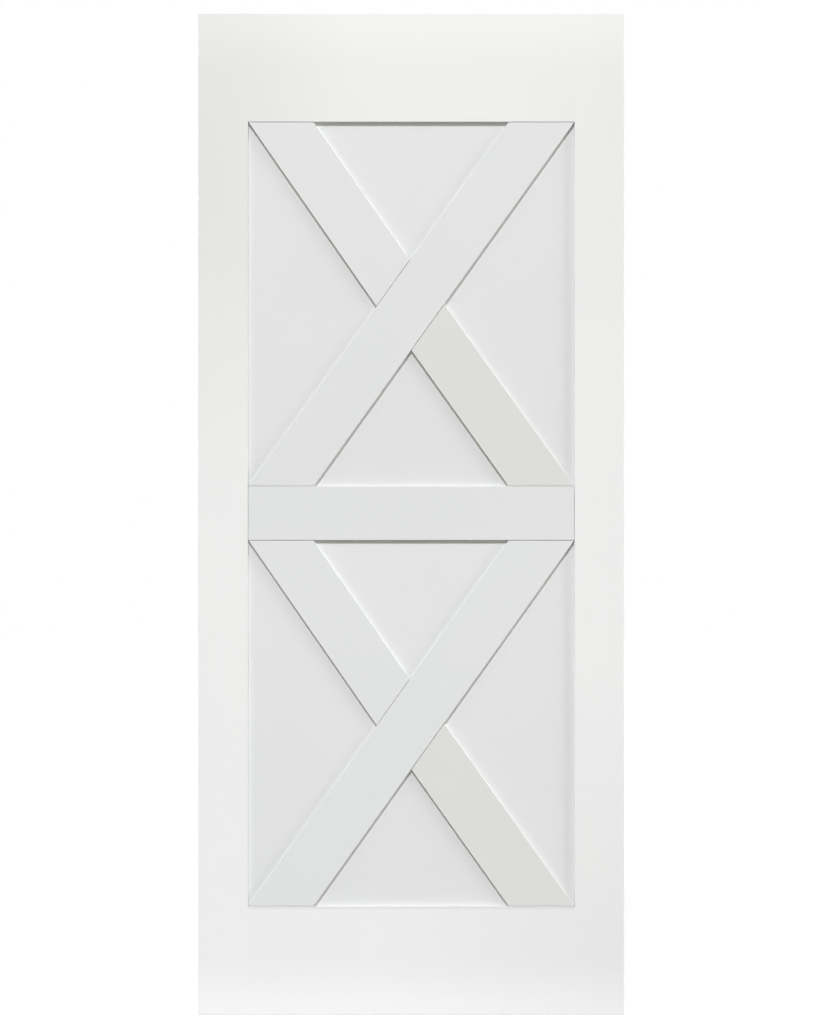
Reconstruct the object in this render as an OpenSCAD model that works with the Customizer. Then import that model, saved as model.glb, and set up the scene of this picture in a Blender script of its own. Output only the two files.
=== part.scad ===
// Sliding barn door leaf.
// A frame of two stiles and two rails holds one flat panel in a groove. On each face of the panel
// a mid rail and two crosses of braces are planted, level with the frame.
// X runs across the leaf, Z runs up from its bottom edge, and the front faces -Y. Sizes are in mm.

/* [Leaf] */
// Width of the leaf
door_w = 908; // [760:1:1220]
// Height of the leaf
door_h = 2134; // [1980:1:2440]
// Thickness of the leaf
door_t = 35; // [32:1:45]

/* [Frame] */
// Width of a stile
stile_w = 106; // [90:1:140]
// Height of the top rail
top_rail_h = 231; // [190:1:280]
// Height of the bottom rail
bottom_rail_h = 231; // [200:1:280]
// Radius of the eased arrises of the frame
edge_r = 1; // [0.5:0.1:3]

/* [Panel] */
// Thickness of the panel
panel_t = 16; // [13:1:20]
// Depth of the groove that holds the panel and the rails' tongues
groove_d = 10; // [8:1:14]
// Room between the floor of a groove and the edge that stands in it
groove_play = 0.8; // [0.3:0.1:0.9]

/* [Planted boards] */
// Width of the mid rail, from its lower to its upper edge
mid_rail_h = 115; // [90:1:150]
// Height of the mid rail's middle above the bottom edge of the leaf
mid_rail_z = 1069; // [900:1:1200]
// Width of a brace
brace_w = 114; // [80:1:150]
// How much steeper the short braces on the left stand than those on the right, in degrees
left_turn = 0.75; // [0:0.05:1.5]
// Radius of the eased arrises on the boards' faces
board_edge_r = 0.8; // [0.3:0.1:2]
// Distance of the boards' faces behind the frame's faces
setback = 0.5; // [0.2:0.1:2]
// Open joint between a board and the piece it butts against
seam = 0.8; // [0.3:0.1:0.9]

/* [Dowels] */
// Diameter of a dowel
dowel_d = 10; // [8:1:12]
// Length of a dowel
dowel_l = 100; // [60:1:120]
// Distance between two dowels of a joint
dowel_pitch = 60; // [40:1:64]
// Room past each end of a dowel in its bore
dowel_play = 0.8; // [0.3:0.1:0.9]

/* [Floor guide groove] */
// Width of the groove in the bottom edge
guide_w = 10; // [6:1:14]
// Depth of the groove in the bottom edge
guide_d = 18; // [12:1:24]

/* [Fit] */
// Clearance on each side of a tongue, a panel edge or a dowel
fit = 0.1; // [0.05:0.05:0.3]

/* [Hidden] */
$fn = 64;

// Paint on the frame, paint on the infill, and bare dowel wood
frame_white = [0.92, 0.92, 0.91];
infill_white = [0.88, 0.885, 0.88];
dowel_wood = [0.80, 0.66, 0.46];

// How far a cutter runs past the face it cuts
past = 1;

// The opening inside the frame
opening_w = door_w - 2 * stile_w;
opening_h = door_h - top_rail_h - bottom_rail_h;
opening_mid_z = bottom_rail_h + opening_h / 2;

// Groove for the panel, and what stands in it
groove_w = panel_t + 2 * fit;
held_d = groove_d - groove_play;

// Boards planted on the panel
recess = (door_t - panel_t) / 2;
board_t = recess - setback;
board_face_y = -panel_t / 2 - board_t;

// Bays above and below the mid rail, each from its floor to its head
upper_bay = [mid_rail_z + mid_rail_h / 2, door_h - top_rail_h];
lower_bay = [bottom_rail_h, mid_rail_z - mid_rail_h / 2];
function bay_h(bay) = bay[1] - bay[0];
function bay_z(bay) = (bay[0] + bay[1]) / 2;

// A brace fills a bay h tall from corner to corner: brace_end is the level cut across its end and
// brace_angle its slope, so that both its long edges run into corners of the bay
function brace_reach(h) = h * sqrt(h * h + opening_w * opening_w - brace_w * brace_w);
function brace_end(h) = brace_w * (brace_reach(h) - brace_w * opening_w) / (h * h - brace_w * brace_w);
function brace_angle(h) = atan2(h, opening_w - brace_end(h));
function brace_half_l(h) = h / (2 * sin(brace_angle(h)));
brace_stock_l = opening_w + opening_h;

// Dowels stand in the solid part of a rail, between its grooves
dowel_steps = [-1, 0, 1];
top_joint_z = door_h - (top_rail_h - groove_d) / 2;
bottom_joint_z = (bottom_rail_h - groove_d + guide_d) / 2;
bore_d = dowel_d + 2 * fit;
bore_l = dowel_l + 2 * dowel_play;

// Section of a w by t bar with its four arrises eased
module eased_section(w, t) {
  square([w - 2 * edge_r, t], center = true);
  square([w, t - 2 * edge_r], center = true);
  for (sx = [-1, 1], sy = [-1, 1])
    translate([sx * (w / 2 - edge_r), sy * (t / 2 - edge_r)])
      circle(r = edge_r);
}

// Section of a planted board w wide and t thick, with only the arrises on its face eased
module board_section(w, t) {
  translate([board_face_y, board_edge_r - w / 2])
    square([t, w - 2 * board_edge_r]);
  translate([board_face_y + board_edge_r, -w / 2])
    square([t - board_edge_r, w]);
  for (s = [-1, 1])
    translate([board_face_y + board_edge_r, s * (w / 2 - board_edge_r)])
      circle(r = board_edge_r);
}

// Draws a section that is given in Y and Z out along X, half the length to each side
module along_x(l) {
  translate([-l / 2, 0, 0])
    rotate([90, 0, 90])
      linear_extrude(height = l)
        children();
}

// The whole leaf as one slab, eased all round on both faces
module leaf_slab() {
  intersection() {
    translate([0, 0, -past])
      linear_extrude(height = door_h + 2 * past)
        eased_section(door_w, door_t);
    translate([0, 0, door_h / 2])
      along_x(door_w + 2 * past)
        eased_section(door_t, door_h);
  }
}

// Section of the flare that eases the arris of an opening w wide, from the face inward along Y
module flare_section(w) {
  difference() {
    translate([-w / 2 - edge_r, -past])
      square([w + 2 * edge_r, edge_r + past]);
    for (s = [-1, 1])
      translate([s * (w / 2 + edge_r), edge_r])
        circle(r = edge_r);
  }
}

// Flares round the opening on both faces, mitred at its corners
module opening_flares() {
  for (face = [0, 1])
    mirror([0, face, 0])
      translate([0, -door_t / 2, opening_mid_z])
        intersection() {
          translate([0, 0, -opening_h / 2 - edge_r - past])
            linear_extrude(height = opening_h + 2 * (edge_r + past))
              flare_section(opening_w);
          along_x(opening_w + 2 * (edge_r + past))
            mirror([1, -1, 0])
              flare_section(opening_h);
        }
}

// Groove for the floor guide, through the whole width of the leaf
module guide_groove() {
  translate([0, 0, (guide_d - past) / 2])
    cube([door_w + 2 * past, guide_w, guide_d + past], center = true);
}

// Three bars along X through each corner joint, for dowels and for their bores
module dowel_bars(d, l) {
  for (side = [-1, 1], joint_z = [bottom_joint_z, top_joint_z], step = dowel_steps)
    translate([side * opening_w / 2, 0, joint_z + step * dowel_pitch])
      rotate([0, 90, 0])
        cylinder(d = d, h = l, center = true);
}

// Stile on the side -1 (left) or 1 (right), grooved along its whole inner edge
module stile(side) {
  difference() {
    intersection() {
      leaf_slab();
      translate([side * (door_w - stile_w + past) / 2, 0, door_h / 2])
        cube([stile_w + past, door_t + 2 * past, door_h + 2 * past], center = true);
    }
    translate([side * (opening_w + groove_d - past) / 2, 0, door_h / 2])
      cube([groove_d + past, groove_w, door_h + 2 * past], center = true);
    opening_flares();
    guide_groove();
    dowel_bars(bore_d, bore_l);
  }
}

// Rail h tall from the height z0, with tongues into the stiles; edge is 1 for an upper inner edge
module rail(z0, h, edge) {
  inner_z = z0 + (1 + edge) * h / 2;
  difference() {
    intersection() {
      leaf_slab();
      translate([0, 0, z0 + (h - edge * past) / 2])
        union() {
          cube([opening_w, door_t + 2 * past, h + past], center = true);
          cube([opening_w + 2 * held_d, panel_t, h + past], center = true);
        }
    }
    translate([0, 0, inner_z - edge * (groove_d - past) / 2])
      cube([door_w, groove_w, groove_d + past], center = true);
    opening_flares();
    guide_groove();
    dowel_bars(bore_d, bore_l);
  }
}

// Room of a bay in front of the panel, less the open joints round it
module bay_room(bay) {
  room_d = recess + past;
  translate([0, -(panel_t + room_d) / 2, bay_z(bay)])
    cube([opening_w - 2 * seam, room_d, bay_h(bay) - 2 * seam], center = true);
}

// Turns what lies along X through the middle of a bay: up to the right for lean 1, to the left for -1
module along_brace(bay, lean) {
  translate([0, 0, bay_z(bay)])
    rotate([0, -lean * brace_angle(bay_h(bay)), 0])
      children();
}

// Brace board from corner to corner of a bay, cut level at both ends and down to the panel's face;
// turn is its extra slope about the middle of its left end
module corner_board(bay, lean, turn = 0) {
  left_x = -brace_half_l(bay_h(bay));
  intersection() {
    along_brace(bay, lean)
      translate([left_x, 0, 0])
        rotate([0, -lean * turn, 0])
          translate([-left_x, 0, 0])
            along_x(brace_stock_l)
              board_section(brace_w, board_t + past);
    bay_room(bay);
  }
}

// Brace that runs the whole way across its bay
module long_brace(bay) {
  corner_board(bay, 1);
}

// Brace that butts against the long one, on its left for side -1 and on its right for 1
module short_brace(bay, side) {
  difference() {
    corner_board(bay, -1, side < 0 ? left_turn : 0);
    along_brace(bay, 1)
      translate([0, 0, side * (brace_stock_l - brace_w - 2 * seam) / 2])
        cube([brace_stock_l, 2 * door_t, brace_stock_l], center = true);
  }
}

// Mid rail board between the two bays
module mid_board() {
  translate([0, 0, mid_rail_z])
    along_x(opening_w - 2 * seam)
      board_section(mid_rail_h, board_t);
}

// The back face carries the same boards, turned half a turn about the upright axis
module on_back() {
  rotate([0, 0, 180])
    children();
}

module left_stile() color(frame_white) stile(-1);

module right_stile() color(frame_white) stile(1);

module top_rail() color(frame_white) rail(door_h - top_rail_h, top_rail_h, -1);

module bottom_rail() color(frame_white) rail(0, bottom_rail_h, 1);

module panel() {
  color(infill_white)
    translate([0, 0, opening_mid_z])
      cube([opening_w + 2 * held_d, panel_t, opening_h + 2 * held_d], center = true);
}

module frame_dowels() color(dowel_wood) dowel_bars(dowel_d, dowel_l);

module front_mid_rail() color(infill_white) mid_board();

module front_upper_long_brace() color(infill_white) long_brace(upper_bay);

module front_upper_left_brace() color(infill_white) short_brace(upper_bay, -1);

module front_upper_right_brace() color(infill_white) short_brace(upper_bay, 1);

module front_lower_long_brace() color(infill_white) long_brace(lower_bay);

module front_lower_left_brace() color(infill_white) short_brace(lower_bay, -1);

module front_lower_right_brace() color(infill_white) short_brace(lower_bay, 1);

module back_mid_rail() color(infill_white) on_back() mid_board();

module back_upper_long_brace() color(infill_white) on_back() long_brace(upper_bay);

module back_upper_left_brace() color(infill_white) on_back() short_brace(upper_bay, -1);

module back_upper_right_brace() color(infill_white) on_back() short_brace(upper_bay, 1);

module back_lower_long_brace() color(infill_white) on_back() long_brace(lower_bay);

module back_lower_left_brace() color(infill_white) on_back() short_brace(lower_bay, -1);

module back_lower_right_brace() color(infill_white) on_back() short_brace(lower_bay, 1);

left_stile();
right_stile();
top_rail();
bottom_rail();
panel();
frame_dowels();
front_mid_rail();
front_upper_long_brace();
front_upper_left_brace();
front_upper_right_brace();
front_lower_long_brace();
front_lower_left_brace();
front_lower_right_brace();
back_mid_rail();
back_upper_long_brace();
back_upper_left_brace();
back_upper_right_brace();
back_lower_long_brace();
back_lower_left_brace();
back_lower_right_brace();
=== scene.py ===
"""Looks of the sliding barn door leaf: paint on every piece, a plain studio and the photo's view."""

import math

import bpy
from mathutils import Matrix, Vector


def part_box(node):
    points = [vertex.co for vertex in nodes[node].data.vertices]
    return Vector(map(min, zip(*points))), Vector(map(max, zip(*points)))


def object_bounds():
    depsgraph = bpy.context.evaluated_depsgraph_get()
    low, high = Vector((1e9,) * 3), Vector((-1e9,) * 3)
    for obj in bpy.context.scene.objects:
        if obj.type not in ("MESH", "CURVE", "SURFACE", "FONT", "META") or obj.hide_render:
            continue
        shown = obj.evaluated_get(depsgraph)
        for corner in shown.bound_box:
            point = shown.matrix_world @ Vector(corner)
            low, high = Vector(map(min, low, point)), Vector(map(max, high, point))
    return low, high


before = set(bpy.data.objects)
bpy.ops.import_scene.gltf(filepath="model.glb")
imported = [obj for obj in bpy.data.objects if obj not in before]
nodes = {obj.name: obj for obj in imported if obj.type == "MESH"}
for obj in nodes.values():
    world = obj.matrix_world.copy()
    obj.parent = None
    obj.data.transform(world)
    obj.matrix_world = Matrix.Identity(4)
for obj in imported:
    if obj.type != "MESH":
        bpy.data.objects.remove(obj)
cad_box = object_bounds()

# Photograph: image size and where the leaf lies in it, in pixels
IMAGE_W, IMAGE_H = 819, 1024
LEAF_LEFT, LEAF_RIGHT = 198.2, 624.2
LEAF_TOP, LEAF_BOTTOM = 13.5, 1014.7
# Camera: metres from the front face, and millimetres of sensor along the image's longer side
CAMERA_DISTANCE = 7.0
SENSOR = 36.0

# Paint colours, linear
FRAME_TONE = (0.846, 0.857, 0.845)
BOARD_TONE = (0.745, 0.765, 0.757)
WARM_BOARD_TONE = (0.714, 0.728, 0.700)
PANEL_TONE = (0.747, 0.760, 0.754)
DOWEL_TONE = (0.60, 0.42, 0.24)
# Every paint drifts slowly between a darker, cooler and a paler, warmer shade of its tone
DRIFT_NOISE = {"Scale": 2.4, "Detail": 3.0, "Roughness": 0.55}
DRIFT_SHARES = (0.98, 1.02)
DRIFT_WARMTH = 0.006
# The lay of the paint is drawn out along each board, and roughness and a bump follow it
LAY_STRETCH = (9.0, 160.0, 160.0)
LAY_NOISE = {"Scale": 1.0, "Detail": 4.0, "Roughness": 0.6}
LAY_ROUGHNESS = (0.46, 0.60)
LAY_BUMP = {"Strength": 0.25, "Distance": 0.0003}
# A fine stipple lies all over
STIPPLE_NOISE = {"Scale": 480.0, "Detail": 2.0, "Roughness": 0.5}
STIPPLE_BUMP = {"Strength": 0.25, "Distance": 0.00025}

# Painted light: the frame's colour is made paler toward the bottom and top edges of the leaf
PAINTED_LIGHT_BOTTOM, PAINTED_LIGHT_TOP = 1.08, 1.05
PAINTED_LIGHT_REACH = 0.13
# Painted shade: the frame's colour is made greyer round these places: middle and reach in X and Z,
# and the level there
PAINTED_SHADE_PLACES = (
    ((-0.454, 1.84), (0.42, 0.85), 0.90),
    ((0.454, 1.80), (0.25, 0.55), 0.965),
    ((0.454, 0.08), (0.60, 0.75), 0.936),
)
# A soft greyer line lies along the upper arris of the bottom rail: its level, how far below the
# arris it begins, and how far below the arris it is full
GREY_LINE = 0.885
GREY_REACH = 0.008
GREY_FULL = GREY_REACH / 3
# Painted light and shade: panel and braces are made a little greyer at the bottom of each bay and
# paler toward its top
PANEL_PAINTED_SHADING = (0.989, 1.033)
BRACE_PAINTED_SHADING = (0.990, 1.017)

# Slope of a board's length, in radians from X in the X-Z plane
LEVEL, UPRIGHT = 0.0, math.pi / 2
# Height within which a point of a brace belongs to its level end
LEVEL_CUT = 0.0001

# Studio lamps: the way the light of each travels, its spread, strength and colour
COOL = (0.99, 1.0, 1.085)
NEUTRAL = (1.0, 1.0, 1.0)
WARM = (1.1, 1.0, 0.76)
LAMPS = {
    "key": (Vector((0.095, 1.0, -0.90)), math.radians(4), 2.20, COOL),
    "right": (Vector((-2.95, 1.0, -0.85)), math.radians(25), 1.28, NEUTRAL),
    "left": (Vector((2.75, 1.0, -1.35)), math.radians(25), 0.36, NEUTRAL),
    "back_key": (Vector((0.7, -1.0, -0.2)), math.radians(6), 2.15, COOL),
    "back_side": (Vector((-2.75, -1.0, -0.25)), math.radians(25), 1.05, COOL),
}
# The warm fill is strongest at and below the horizon and fades out toward the zenith
FILL_LEVELS = (0.55, 0.0)
# The floor throws little light back at the leaf
FLOOR_BOUNCE = 0.25
# Seen by the camera, the floor is white where it is lit and keeps the leaf's shadow
FLOOR_GLOW = 0.835
FLOOR_SHADE = 0.26
FLOOR_SIZE = 40.0

# Sockets of a Mix node that is set to colours
MIX_SHARE, MIX_FIRST, MIX_SECOND, MIX_RESULT = 0, 6, 7, 2


def node_tree(owner):
    """Empty node tree of a material or a world."""
    owner.use_nodes = True
    tree = owner.node_tree
    tree.nodes.clear()
    return tree


def add(tree, kind, inputs=None, **settings):
    """New node with settings of its own and values on its inputs."""
    node = tree.nodes.new(kind)
    for name, value in settings.items():
        setattr(node, name, value)
    for name, value in (inputs or {}).items():
        node.inputs[name].default_value = value
    return node


def grey(level):
    return level, level, level, 1


def scaled(tone, share, warmth):
    """Linear colour of a tone made lighter by share, and a little warmer or, below 0, cooler."""
    red, green, blue = (c * share for c in tone)
    return red * (1 + warmth), green, blue * (1 - warmth), 1.0


def height(tree, vector):
    """Z of a vector socket."""
    parts = add(tree, "ShaderNodeSeparateXYZ")
    tree.links.new(vector, parts.inputs["Vector"])
    return parts.outputs["Z"]


def level_between(tree, value, start, end, levels, way="SMOOTHSTEP"):
    """Level that goes from the first to the second of levels as the value goes from start to end."""
    ends = {"From Min": start, "From Max": end, "To Min": levels[0], "To Max": levels[1]}
    level = add(tree, "ShaderNodeMapRange", ends, interpolation_type=way)
    tree.links.new(value, level.inputs["Value"])
    return level.outputs["Result"]


def oval_distance(tree, place, middle, reach):
    """0 at a middle in X and Z and 1 at its reach, on the front and the back alike."""
    oval = add(tree, "ShaderNodeMapping", {
        "Location": (-middle[0] / reach[0], 0, -middle[1] / reach[1]),
        "Scale": (1 / reach[0], 0, 1 / reach[1]),
    })
    tree.links.new(place, oval.inputs["Vector"])
    away = add(tree, "ShaderNodeVectorMath", operation="LENGTH")
    tree.links.new(oval.outputs["Vector"], away.inputs[0])
    return away.outputs["Value"]


def bay_height(tree, place):
    """0 at the bottom of each bay, growing upward; the mid rail hides the step between the bays."""
    bays = add(tree, "ShaderNodeMapRange", {
        "From Min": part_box("bottom_rail")[1].z,
        "From Max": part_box("front_mid_rail")[1].z,
    }, clamp=False)
    tree.links.new(height(tree, place), bays.inputs["Value"])
    within = add(tree, "ShaderNodeMath", operation="FRACT")
    tree.links.new(bays.outputs["Result"], within.inputs[0])
    return within.outputs["Value"]


def frame_painted_shading(tree, place):
    """Levels of the frame's paint: its painted shade round some places and its painted light toward
    the bottom and top ends.
    """
    # Painted shade: greyer colour round a few places of the frame
    for middle, reach, level in PAINTED_SHADE_PLACES:
        yield level_between(tree, oval_distance(tree, place, middle, reach), 1, 0, (1, level))
    low, high = cad_box[0].z, cad_box[1].z
    # Painted light: paler colour toward the bottom and top ends of the frame
    yield level_between(tree, height(tree, place), low + PAINTED_LIGHT_REACH, low, (1, PAINTED_LIGHT_BOTTOM))
    yield level_between(tree, height(tree, place), high - PAINTED_LIGHT_REACH, high, (1, PAINTED_LIGHT_TOP))


def arris_level(tree, place, arris):
    """Level of the greyer line along an upper arris at the given height."""
    start, end = arris - GREY_REACH, arris - GREY_FULL
    return level_between(tree, height(tree, place), start, end, (1, GREY_LINE))


def bay_painted_shading_level(tree, place, shade):
    """Painted light and shade: a level that goes with the height within each bay."""
    return level_between(tree, bay_height(tree, place), 0, 1, shade, way="LINEAR")


def drifting(tree, along, tone):
    """Colour of a tone with its slow drift."""
    cloud = add(tree, "ShaderNodeTexNoise", DRIFT_NOISE)
    tree.links.new(along, cloud.inputs["Vector"])
    tint = add(tree, "ShaderNodeMix", data_type="RGBA")
    tint.inputs[MIX_FIRST].default_value = scaled(tone, DRIFT_SHARES[0], -DRIFT_WARMTH)
    tint.inputs[MIX_SECOND].default_value = scaled(tone, DRIFT_SHARES[1], DRIFT_WARMTH)
    tree.links.new(cloud.outputs["Fac"], tint.inputs[MIX_SHARE])
    return tint.outputs[MIX_RESULT]


def shaded(tree, colour, level):
    """Colour made lighter or darker by a level."""
    scale = add(tree, "ShaderNodeVectorMath", operation="SCALE")
    tree.links.new(colour, scale.inputs[0])
    tree.links.new(level, scale.inputs["Scale"])
    return scale.outputs["Vector"]


def paint(name, tone, slope, on_frame=False, grey_arris=None, bay_painted_shading=None):
    """Satin paint on a board whose length rises by slope (radians) from X in the X-Z plane."""
    material = bpy.data.materials.new(name)
    tree = node_tree(material)
    link = tree.links.new
    place = add(tree, "ShaderNodeTexCoord").outputs["Object"]
    turn = add(tree, "ShaderNodeMapping", {"Rotation": (0, slope, 0)})
    link(place, turn.inputs["Vector"])
    along = turn.outputs["Vector"]

    colour = drifting(tree, along, tone)
    # The frame's painted light and shade, the greyer line along an arris and the painted light and
    # shade within the bays each scale the colour
    levels = list(frame_painted_shading(tree, place)) if on_frame else []
    if grey_arris is not None:
        levels.append(arris_level(tree, place, grey_arris))
    if bay_painted_shading is not None:
        levels.append(bay_painted_shading_level(tree, place, bay_painted_shading))
    for level in levels:
        colour = shaded(tree, colour, level)

    stretch = add(tree, "ShaderNodeMapping", {"Scale": LAY_STRETCH})
    link(along, stretch.inputs["Vector"])
    lay = add(tree, "ShaderNodeTexNoise", LAY_NOISE)
    link(stretch.outputs["Vector"], lay.inputs["Vector"])
    stipple = add(tree, "ShaderNodeTexNoise", STIPPLE_NOISE)
    link(along, stipple.inputs["Vector"])

    roughness = level_between(tree, lay.outputs["Fac"], 0, 1, LAY_ROUGHNESS, way="LINEAR")
    lay_bump = add(tree, "ShaderNodeBump", LAY_BUMP)
    link(lay.outputs["Fac"], lay_bump.inputs["Height"])
    stipple_bump = add(tree, "ShaderNodeBump", STIPPLE_BUMP)
    link(stipple.outputs["Fac"], stipple_bump.inputs["Height"])
    link(lay_bump.outputs["Normal"], stipple_bump.inputs["Normal"])

    shader = add(tree, "ShaderNodeBsdfPrincipled")
    link(colour, shader.inputs["Base Color"])
    link(roughness, shader.inputs["Roughness"])
    link(stipple_bump.outputs["Normal"], shader.inputs["Normal"])
    out = add(tree, "ShaderNodeOutputMaterial")
    link(shader.outputs["BSDF"], out.inputs["Surface"])
    return material


def dress(node_name, material):
    """Give a CAD node a material in place of its own."""
    mesh = nodes[node_name].data
    mesh.materials.clear()
    mesh.materials.append(material)


def brace_slope():
    """Slope of the long braces, read off the lower edge of one: both its ends are cut level."""
    brace = nodes["front_upper_long_brace"]
    points = [brace.matrix_world @ v.co for v in brace.data.vertices]
    low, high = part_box("front_upper_long_brace")
    foot = max(p.x for p in points if p.z < low.z + LEVEL_CUT)
    return math.atan2(high.z - low.z, high.x - foot)


def dress_leaf():
    """Paint every CAD node."""
    rise = brace_slope()
    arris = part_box("bottom_rail")[1].z
    stile_paint = paint("stile_paint", FRAME_TONE, UPRIGHT, on_frame=True)
    top_paint = paint("top_rail_paint", FRAME_TONE, LEVEL, on_frame=True)
    bottom_paint = paint("bottom_rail_paint", FRAME_TONE, LEVEL, on_frame=True, grey_arris=arris)
    panel_paint = paint("panel_paint", PANEL_TONE, UPRIGHT, bay_painted_shading=PANEL_PAINTED_SHADING)
    mid_paint = paint("mid_rail_paint", BOARD_TONE, LEVEL)
    rising_paint = paint("rising_brace_paint", BOARD_TONE, rise, bay_painted_shading=BRACE_PAINTED_SHADING)
    falling_paint = paint("falling_brace_paint", BOARD_TONE, -rise, bay_painted_shading=BRACE_PAINTED_SHADING)
    warm_paint = paint("warm_brace_paint", WARM_BOARD_TONE, -rise, bay_painted_shading=BRACE_PAINTED_SHADING)
    dowel_paint = paint("dowel_wood", DOWEL_TONE, LEVEL)

    for side in ("left", "right"):
        dress(f"{side}_stile", stile_paint)
    dress("top_rail", top_paint)
    dress("bottom_rail", bottom_paint)
    dress("panel", panel_paint)
    dress("frame_dowels", dowel_paint)
    for face in ("front", "back"):
        dress(f"{face}_mid_rail", mid_paint)
        for bay in ("upper", "lower"):
            dress(f"{face}_{bay}_long_brace", rising_paint)
            dress(f"{face}_{bay}_left_brace", falling_paint)
            dress(f"{face}_{bay}_right_brace", warm_paint)


def seen_directly(tree):
    """1 for camera, glossy and transmission rays, 0 for rays that carry light between surfaces."""
    path = add(tree, "ShaderNodeLightPath")
    total = path.outputs["Is Camera Ray"]
    for ray in ("Is Glossy Ray", "Is Transmission Ray"):
        either = add(tree, "ShaderNodeMath", operation="MAXIMUM")
        tree.links.new(total, either.inputs[0])
        tree.links.new(path.outputs[ray], either.inputs[1])
        total = either.outputs["Value"]
    return total


def lit_or_seen(tree, light, sight):
    """Shader that lights the scene as one node and looks like another where it is seen directly."""
    mix = add(tree, "ShaderNodeMixShader")
    tree.links.new(seen_directly(tree), mix.inputs[0])
    tree.links.new(light.outputs[0], mix.inputs[1])
    tree.links.new(sight.outputs[0], mix.inputs[2])
    return mix.outputs["Shader"]


def white_world():
    """World that looks white and gives a warm fill."""
    world = bpy.data.worlds.new("studio")
    bpy.context.scene.world = world
    tree = node_tree(world)
    way = add(tree, "ShaderNodeTexCoord").outputs["Generated"]
    strength = level_between(tree, height(tree, way), 0, 1, FILL_LEVELS, way="LINEAR")
    fill = add(tree, "ShaderNodeBackground", {"Color": (*WARM, 1)})
    tree.links.new(strength, fill.inputs["Strength"])
    white = add(tree, "ShaderNodeBackground", {"Color": grey(1), "Strength": 1.0})
    out = add(tree, "ShaderNodeOutputWorld")
    tree.links.new(lit_or_seen(tree, fill, white), out.inputs["Surface"])


def floor_paint():
    """Paint that looks white, keeps shadows and throws little light back."""
    material = bpy.data.materials.new("floor_white")
    tree = node_tree(material)
    bounce = add(tree, "ShaderNodeBsdfDiffuse", {"Color": grey(FLOOR_BOUNCE)})
    glow = add(tree, "ShaderNodeEmission", {"Strength": FLOOR_GLOW})
    shade = add(tree, "ShaderNodeBsdfDiffuse", {"Color": grey(FLOOR_SHADE)})
    shown = add(tree, "ShaderNodeAddShader")
    tree.links.new(glow.outputs[0], shown.inputs[0])
    tree.links.new(shade.outputs[0], shown.inputs[1])
    out = add(tree, "ShaderNodeOutputMaterial")
    tree.links.new(lit_or_seen(tree, bounce, shown), out.inputs["Surface"])
    return material


def pale_floor():
    half = FLOOR_SIZE / 2
    corners = [(-half, -half, 0), (half, -half, 0), (half, half, 0), (-half, half, 0)]
    mesh = bpy.data.meshes.new("floor")
    mesh.from_pydata(corners, [], [(0, 1, 2, 3)])
    mesh.materials.append(floor_paint())
    floor = bpy.data.objects.new("floor", mesh)
    bpy.context.scene.collection.objects.link(floor)


def studio_lights():
    """Lamps as far away as the sun."""
    for name, (travel, spread, strength, colour) in LAMPS.items():
        data = bpy.data.lights.new(name, "SUN")
        data.angle = spread
        data.energy = strength
        data.color = colour
        lamp = bpy.data.objects.new(name, data)
        lamp.rotation_euler = travel.to_track_quat("-Z", "Y").to_euler()
        bpy.context.scene.collection.objects.link(lamp)


def photo_camera():
    """Camera square to the leaf, placed so that the leaf lies where the photograph has it."""
    low, high = cad_box
    metres_per_pixel = (high.z - low.z) / (LEAF_BOTTOM - LEAF_TOP)
    right = (IMAGE_W / 2 - (LEAF_LEFT + LEAF_RIGHT) / 2) * metres_per_pixel
    up = ((LEAF_TOP + LEAF_BOTTOM) / 2 - IMAGE_H / 2) * metres_per_pixel
    data = bpy.data.cameras.new("photo_camera")
    data.sensor_width = SENSOR
    data.lens = SENSOR * CAMERA_DISTANCE / (IMAGE_H * metres_per_pixel)
    camera = bpy.data.objects.new("photo_camera", data)
    camera.location = (
        (low.x + high.x) / 2 + right,
        low.y - CAMERA_DISTANCE,
        (low.z + high.z) / 2 + up,
    )
    camera.rotation_euler = (math.pi / 2, 0, 0)
    bpy.context.scene.collection.objects.link(camera)
    bpy.context.scene.camera = camera


dress_leaf()
white_world()
pale_floor()
studio_lights()
photo_camera()
bpy.context.scene.view_settings.view_transform = "Standard"
